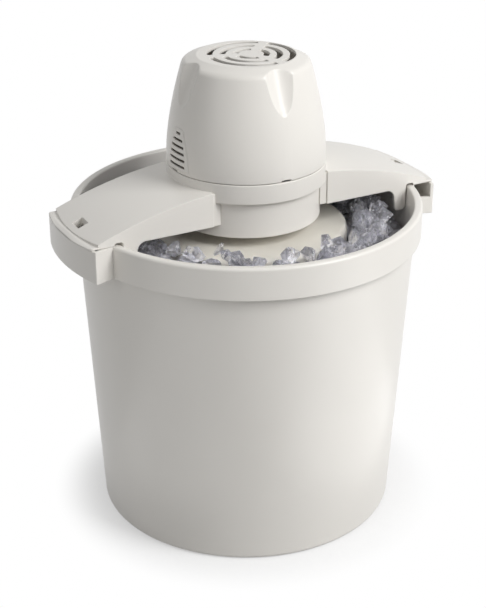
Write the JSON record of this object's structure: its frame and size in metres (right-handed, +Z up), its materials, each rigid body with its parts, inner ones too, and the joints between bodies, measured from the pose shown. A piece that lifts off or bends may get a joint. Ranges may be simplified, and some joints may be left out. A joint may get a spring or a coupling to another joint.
{
  "type": "motor-driven bucket ice cream freezer",
  "caption": "Cream plastic ice bucket with a motor head locked across its mouth, over a lidded metal can that turns in the ice.",
  "frame": {"origin": "centre of the bucket's base, on the surface that it stands on", "axes": "+Z up, +X along the wings of the motor head, +Y away from the side with the bare name place"},
  "size_m": [0.328, 0.292, 0.394],
  "materials": {
    "housing": "semi-gloss moulded, warm off-white",
    "lid": "semi-gloss moulded, warm off-white",
    "can": "drawn, bright",
    "paddle": "moulded, white",
    "acetal": "moulded, natural",
    "bobbin": "moulded, cream",
    "steel": "zinc plated",
    "iron": "stacked laminations",
    "copper": "enamelled copper wire",
    "bronze": "sintered",
    "rubber": "moulded"
  },
  "bodies": {
    "bucket": {"ice_bucket": "housing", "pivot_cap": "acetal"},
    "can": {"canister": "can"},
    "lid": {"canister_lid": "lid"},
    "dasher": {"dasher": "paddle"},
    "head": {"bridge_housing": "housing", "gearcase_cover": "housing", "motor_cover": "housing", "cord_grommet": "rubber", "output_bush": "bronze", "second_gear_shaft": "steel", "first_gear_shaft": "steel", "gear_plate": "steel", "stem_socket": "acetal", "field_core": "iron", "coil_bobbin": "bobbin", "field_coil": "copper", "lower_bearing_bracket": "steel", "lower_bearing": "bronze", "upper_bearing_bracket": "steel", "upper_bearing": "bronze", "motor_screw_1": "steel", "motor_screw_2": "steel", "housing_screw_1": "steel", "housing_screw_2": "steel", "housing_screw_3": "steel", "housing_screw_4": "steel"},
    "rotor": {"motor_shaft": "steel", "motor_pinion": "steel", "motor_rotor": "iron", "cooling_fan": "paddle"},
    "first_gear": {"first_gear": "acetal"},
    "second_gear": {"second_gear": "acetal"},
    "output_gear": {"output_gear": "acetal"}
  },
  "joints": [
    {"name": "can_spin", "type": "hinge", "parent": "bucket", "child": "can", "pos_m": [0, 0, 0.012], "axis": [0, 0, 1], "continuous": true},
    {"name": "lid_lift", "type": "slide", "parent": "can", "child": "lid", "axis": [0, 0, 1], "range_m": [0, 0.0705]},
    {"name": "head_twist", "type": "hinge", "parent": "bucket", "child": "dasher", "pos_m": [0, 0, 0.27], "axis": [0, 0, 1], "range_deg": [-24, 2]},
    {"name": "head_lift", "type": "slide", "parent": "dasher", "child": "head", "axis": [0, 0, 1], "range_m": [0, 0.15]},
    {"name": "motor_spin", "type": "hinge", "parent": "head", "child": "rotor", "pos_m": [0.01237, -0.00659, 0.32], "axis": [0, 0, 1], "continuous": true},
    {"name": "first_gear_spin", "type": "hinge", "parent": "head", "child": "first_gear", "pos_m": [0.01879, -0.0234, 0.284], "axis": [0, 0, 1], "continuous": true},
    {"name": "second_gear_spin", "type": "hinge", "parent": "head", "child": "second_gear", "pos_m": [-0.00226, -0.03493, 0.275], "axis": [0, 0, 1], "continuous": true},
    {"name": "output_spin", "type": "hinge", "parent": "head", "child": "output_gear", "pos_m": [0, 0, 0.27], "axis": [0, 0, 1], "continuous": true}
  ],
  "couplings": [
    {"joint": "first_gear_spin", "follows": "motor_spin", "ratio": -0.2},
    {"joint": "second_gear_spin", "follows": "motor_spin", "ratio": 0.05},
    {"joint": "output_spin", "follows": "motor_spin", "ratio": -0.02},
    {"joint": "can_spin", "follows": "motor_spin", "ratio": -0.02},
    {"joint": "lid_lift", "follows": "head_lift", "ratio": 0.47}
  ]
}
